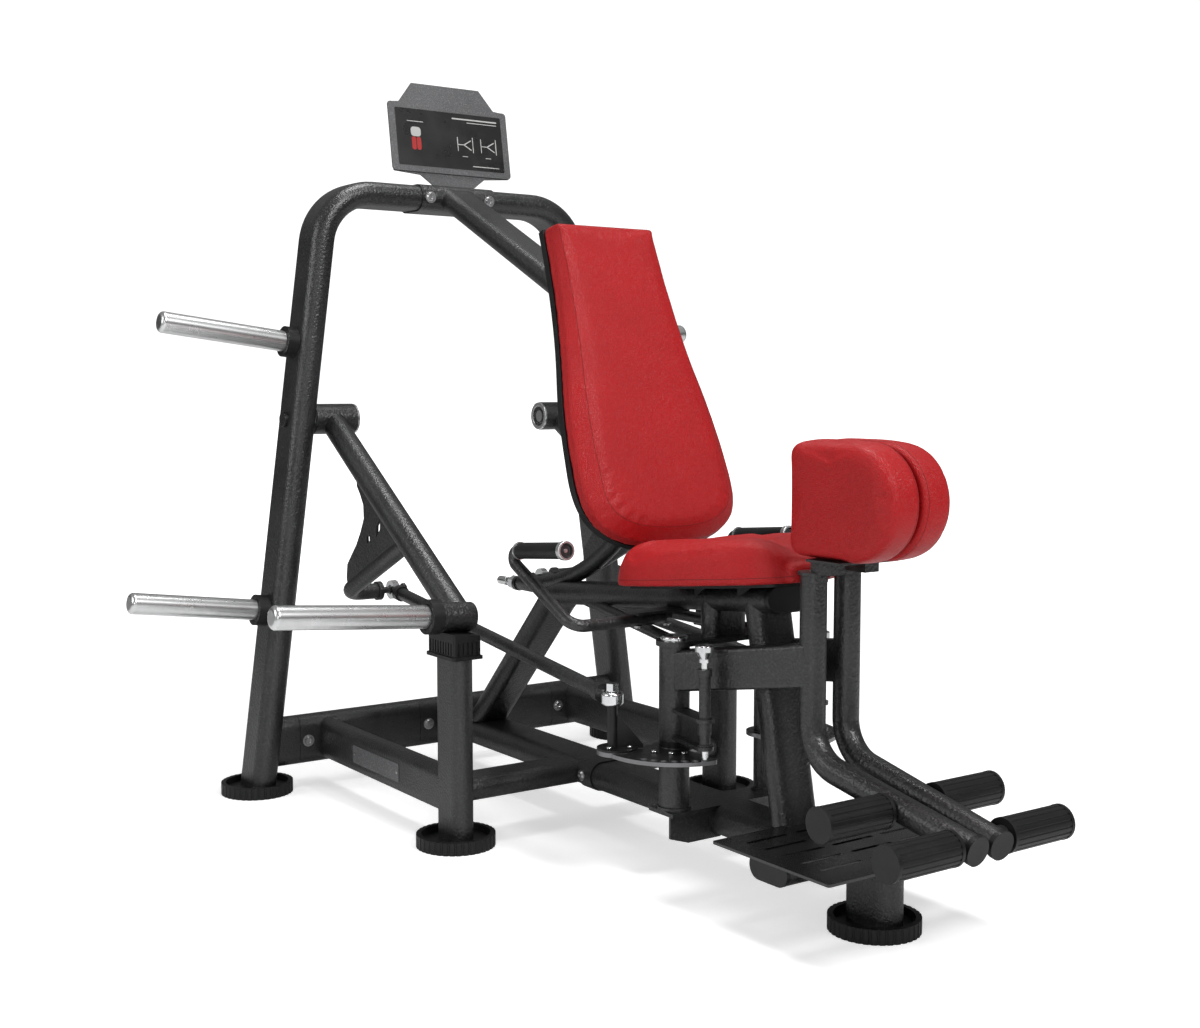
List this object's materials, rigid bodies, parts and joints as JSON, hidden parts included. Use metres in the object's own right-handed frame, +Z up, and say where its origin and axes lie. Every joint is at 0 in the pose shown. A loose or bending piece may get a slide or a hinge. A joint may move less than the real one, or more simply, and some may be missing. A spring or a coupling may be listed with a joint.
{
  "type": "plate-loaded hip adductor machine",
  "caption": "Plate-loaded inner-thigh machine: seat and tall backrest on a flat-oval tube frame, swinging thigh pads with foot pegs, selector discs, push rods and weight levers.",
  "frame": {"origin": "on the floor, at the centre of the footprint box", "axes": "+Z up, +X across the machine, -Y the way the user faces"},
  "size_m": [1.688, 1.8962, 1.7327],
  "materials": {
    "beam_paint": "textured black powder coat",
    "board_black": "black moulded board",
    "chrome_sleeve": "polished chrome",
    "chrome_trim": "bright plated",
    "frame_paint": "textured black powder coat",
    "panel_face": "black printed face, left blank",
    "panel_grey": "grey powder coat",
    "plastic_black": "moulded black plastic",
    "rubber_black": "moulded matt rubber",
    "steel_bolt": "zinc plated",
    "steel_post": "blackened steel",
    "vinyl_red": "red grained vinyl"
  },
  "bodies": {
    "frame": {"arch_sleeve": "frame_paint", "backrest_board": "board_black", "backrest_pad": "vinyl_red", "backrest_rail": "frame_paint", "backrest_tube": "frame_paint", "center_spine": "beam_paint", "foot_plate": "frame_paint", "foot_plate_tube": "frame_paint", "frame_bolts": "steel_bolt", "front_post": "beam_paint", "front_support": "frame_paint", "handle_grips": "rubber_black", "handle_trim": "chrome_trim", "knob_nut": "chrome_trim", "leveling_feet": "rubber_black", "lever_axles": "steel_bolt", "link_beams": "beam_paint", "pivot_brackets": "frame_paint", "pivot_caps": "chrome_trim", "pivot_posts": "frame_paint", "pivot_struts": "frame_paint", "pivot_top_plate": "frame_paint", "placard_bracket": "panel_grey", "placard_panel": "panel_face", "rear_arch": "frame_paint", "rear_cross_beam": "beam_paint", "rubber_bumpers": "rubber_black", "seat_board": "board_black", "seat_frame": "frame_paint", "seat_handles": "frame_paint", "seat_pad": "vinyl_red", "side_beams": "beam_paint", "side_posts": "beam_paint", "storage_collars": "rubber_black", "storage_horns": "chrome_sleeve", "tube_end_caps": "plastic_black"},
    "left_lever": {"weight_lever_left": "frame_paint", "loading_horn_left": "chrome_sleeve", "horn_collar_left": "rubber_black"},
    "left_disc": {"selector_disc_left": "steel_post"},
    "left_yoke": {"ball_joint_left": "chrome_trim"},
    "left_rod": {"push_rod_left": "frame_paint", "rod_ends_left": "chrome_trim"},
    "left_arm": {"swing_arm_left": "frame_paint", "thigh_pad_left": "vinyl_red", "foot_pegs_left": "rubber_black"},
    "left_pin": {"selector_pin_left": "chrome_trim"},
    "right_lever": {"weight_lever_right": "frame_paint", "loading_horn_right": "chrome_sleeve", "horn_collar_right": "rubber_black"},
    "right_disc": {"selector_disc_right": "steel_post"},
    "right_yoke": {"ball_joint_right": "chrome_trim"},
    "right_rod": {"push_rod_right": "frame_paint", "rod_ends_right": "chrome_trim"},
    "right_arm": {"swing_arm_right": "frame_paint", "thigh_pad_right": "vinyl_red", "foot_pegs_right": "rubber_black"},
    "right_pin": {"selector_pin_right": "chrome_trim"},
    "release_knob": {"release_knob": "chrome_trim"}
  },
  "joints": [
    {"name": "left_arm_swing", "type": "hinge", "parent": "frame", "child": "left_arm", "pos_m": [-0.123, -0.243, 0.42], "axis": [0, 0, 1], "range_deg": [-54, 0]},
    {"name": "left_pin_lift", "type": "slide", "parent": "left_arm", "child": "left_pin", "axis": [0, 0, 1], "range_m": [-0.012, 0.012]},
    {"name": "left_disc_turn", "type": "hinge", "parent": "frame", "child": "left_disc", "pos_m": [-0.123, -0.243, 0.266], "axis": [0, 0, 1], "range_deg": [0, 54]},
    {"name": "left_rod_yaw", "type": "hinge", "parent": "left_disc", "child": "left_yoke", "pos_m": [-0.24234, -0.19956, 0.373], "axis": [0, 0, 1], "range_deg": [-54, 0]},
    {"name": "left_rod_pitch", "type": "hinge", "parent": "left_yoke", "child": "left_rod", "pos_m": [-0.24234, -0.19956, 0.373], "axis": [0.9997, -0.0252, 0], "range_deg": [0, 2.7]},
    {"name": "left_lever_lift", "type": "hinge", "parent": "frame", "child": "left_lever", "pos_m": [-0.33, 0.864, 0.898], "axis": [-1, 0, 0], "range_deg": [0, 17.2]},
    {"name": "right_arm_swing", "type": "hinge", "parent": "frame", "child": "right_arm", "pos_m": [0.123, -0.243, 0.42], "axis": [0, 0, -1], "range_deg": [-54, 0]},
    {"name": "right_pin_lift", "type": "slide", "parent": "right_arm", "child": "right_pin", "axis": [0, 0, 1], "range_m": [-0.012, 0.012]},
    {"name": "right_disc_turn", "type": "hinge", "parent": "frame", "child": "right_disc", "pos_m": [0.123, -0.243, 0.266], "axis": [0, 0, -1], "range_deg": [0, 54]},
    {"name": "right_rod_yaw", "type": "hinge", "parent": "right_disc", "child": "right_yoke", "pos_m": [0.24234, -0.19956, 0.373], "axis": [0, 0, -1], "range_deg": [-54, 0]},
    {"name": "right_rod_pitch", "type": "hinge", "parent": "right_yoke", "child": "right_rod", "pos_m": [0.24234, -0.19956, 0.373], "axis": [0.9997, 0.0252, 0], "range_deg": [0, 2.7]},
    {"name": "right_lever_lift", "type": "hinge", "parent": "frame", "child": "right_lever", "pos_m": [0.33, 0.864, 0.898], "axis": [-1, 0, 0], "range_deg": [0, 17.2]},
    {"name": "release_pull", "type": "slide", "parent": "frame", "child": "release_knob", "axis": [0, 1, 0], "range_m": [0, 0.012], "stiffness_N_per_m": 400, "springref_m": -0.01}
  ],
  "couplings": [
    {"joint": "left_rod_yaw", "follows": "left_disc_turn", "ratio": -0.99509},
    {"joint": "left_rod_pitch", "follows": "left_disc_turn", "ratio": 0.048724},
    {"joint": "left_lever_lift", "follows": "left_disc_turn", "ratio": 0.31791},
    {"joint": "right_rod_yaw", "follows": "right_disc_turn", "ratio": -0.99509},
    {"joint": "right_rod_pitch", "follows": "right_disc_turn", "ratio": 0.048724},
    {"joint": "right_lever_lift", "follows": "right_disc_turn", "ratio": 0.31791}
  ]
}
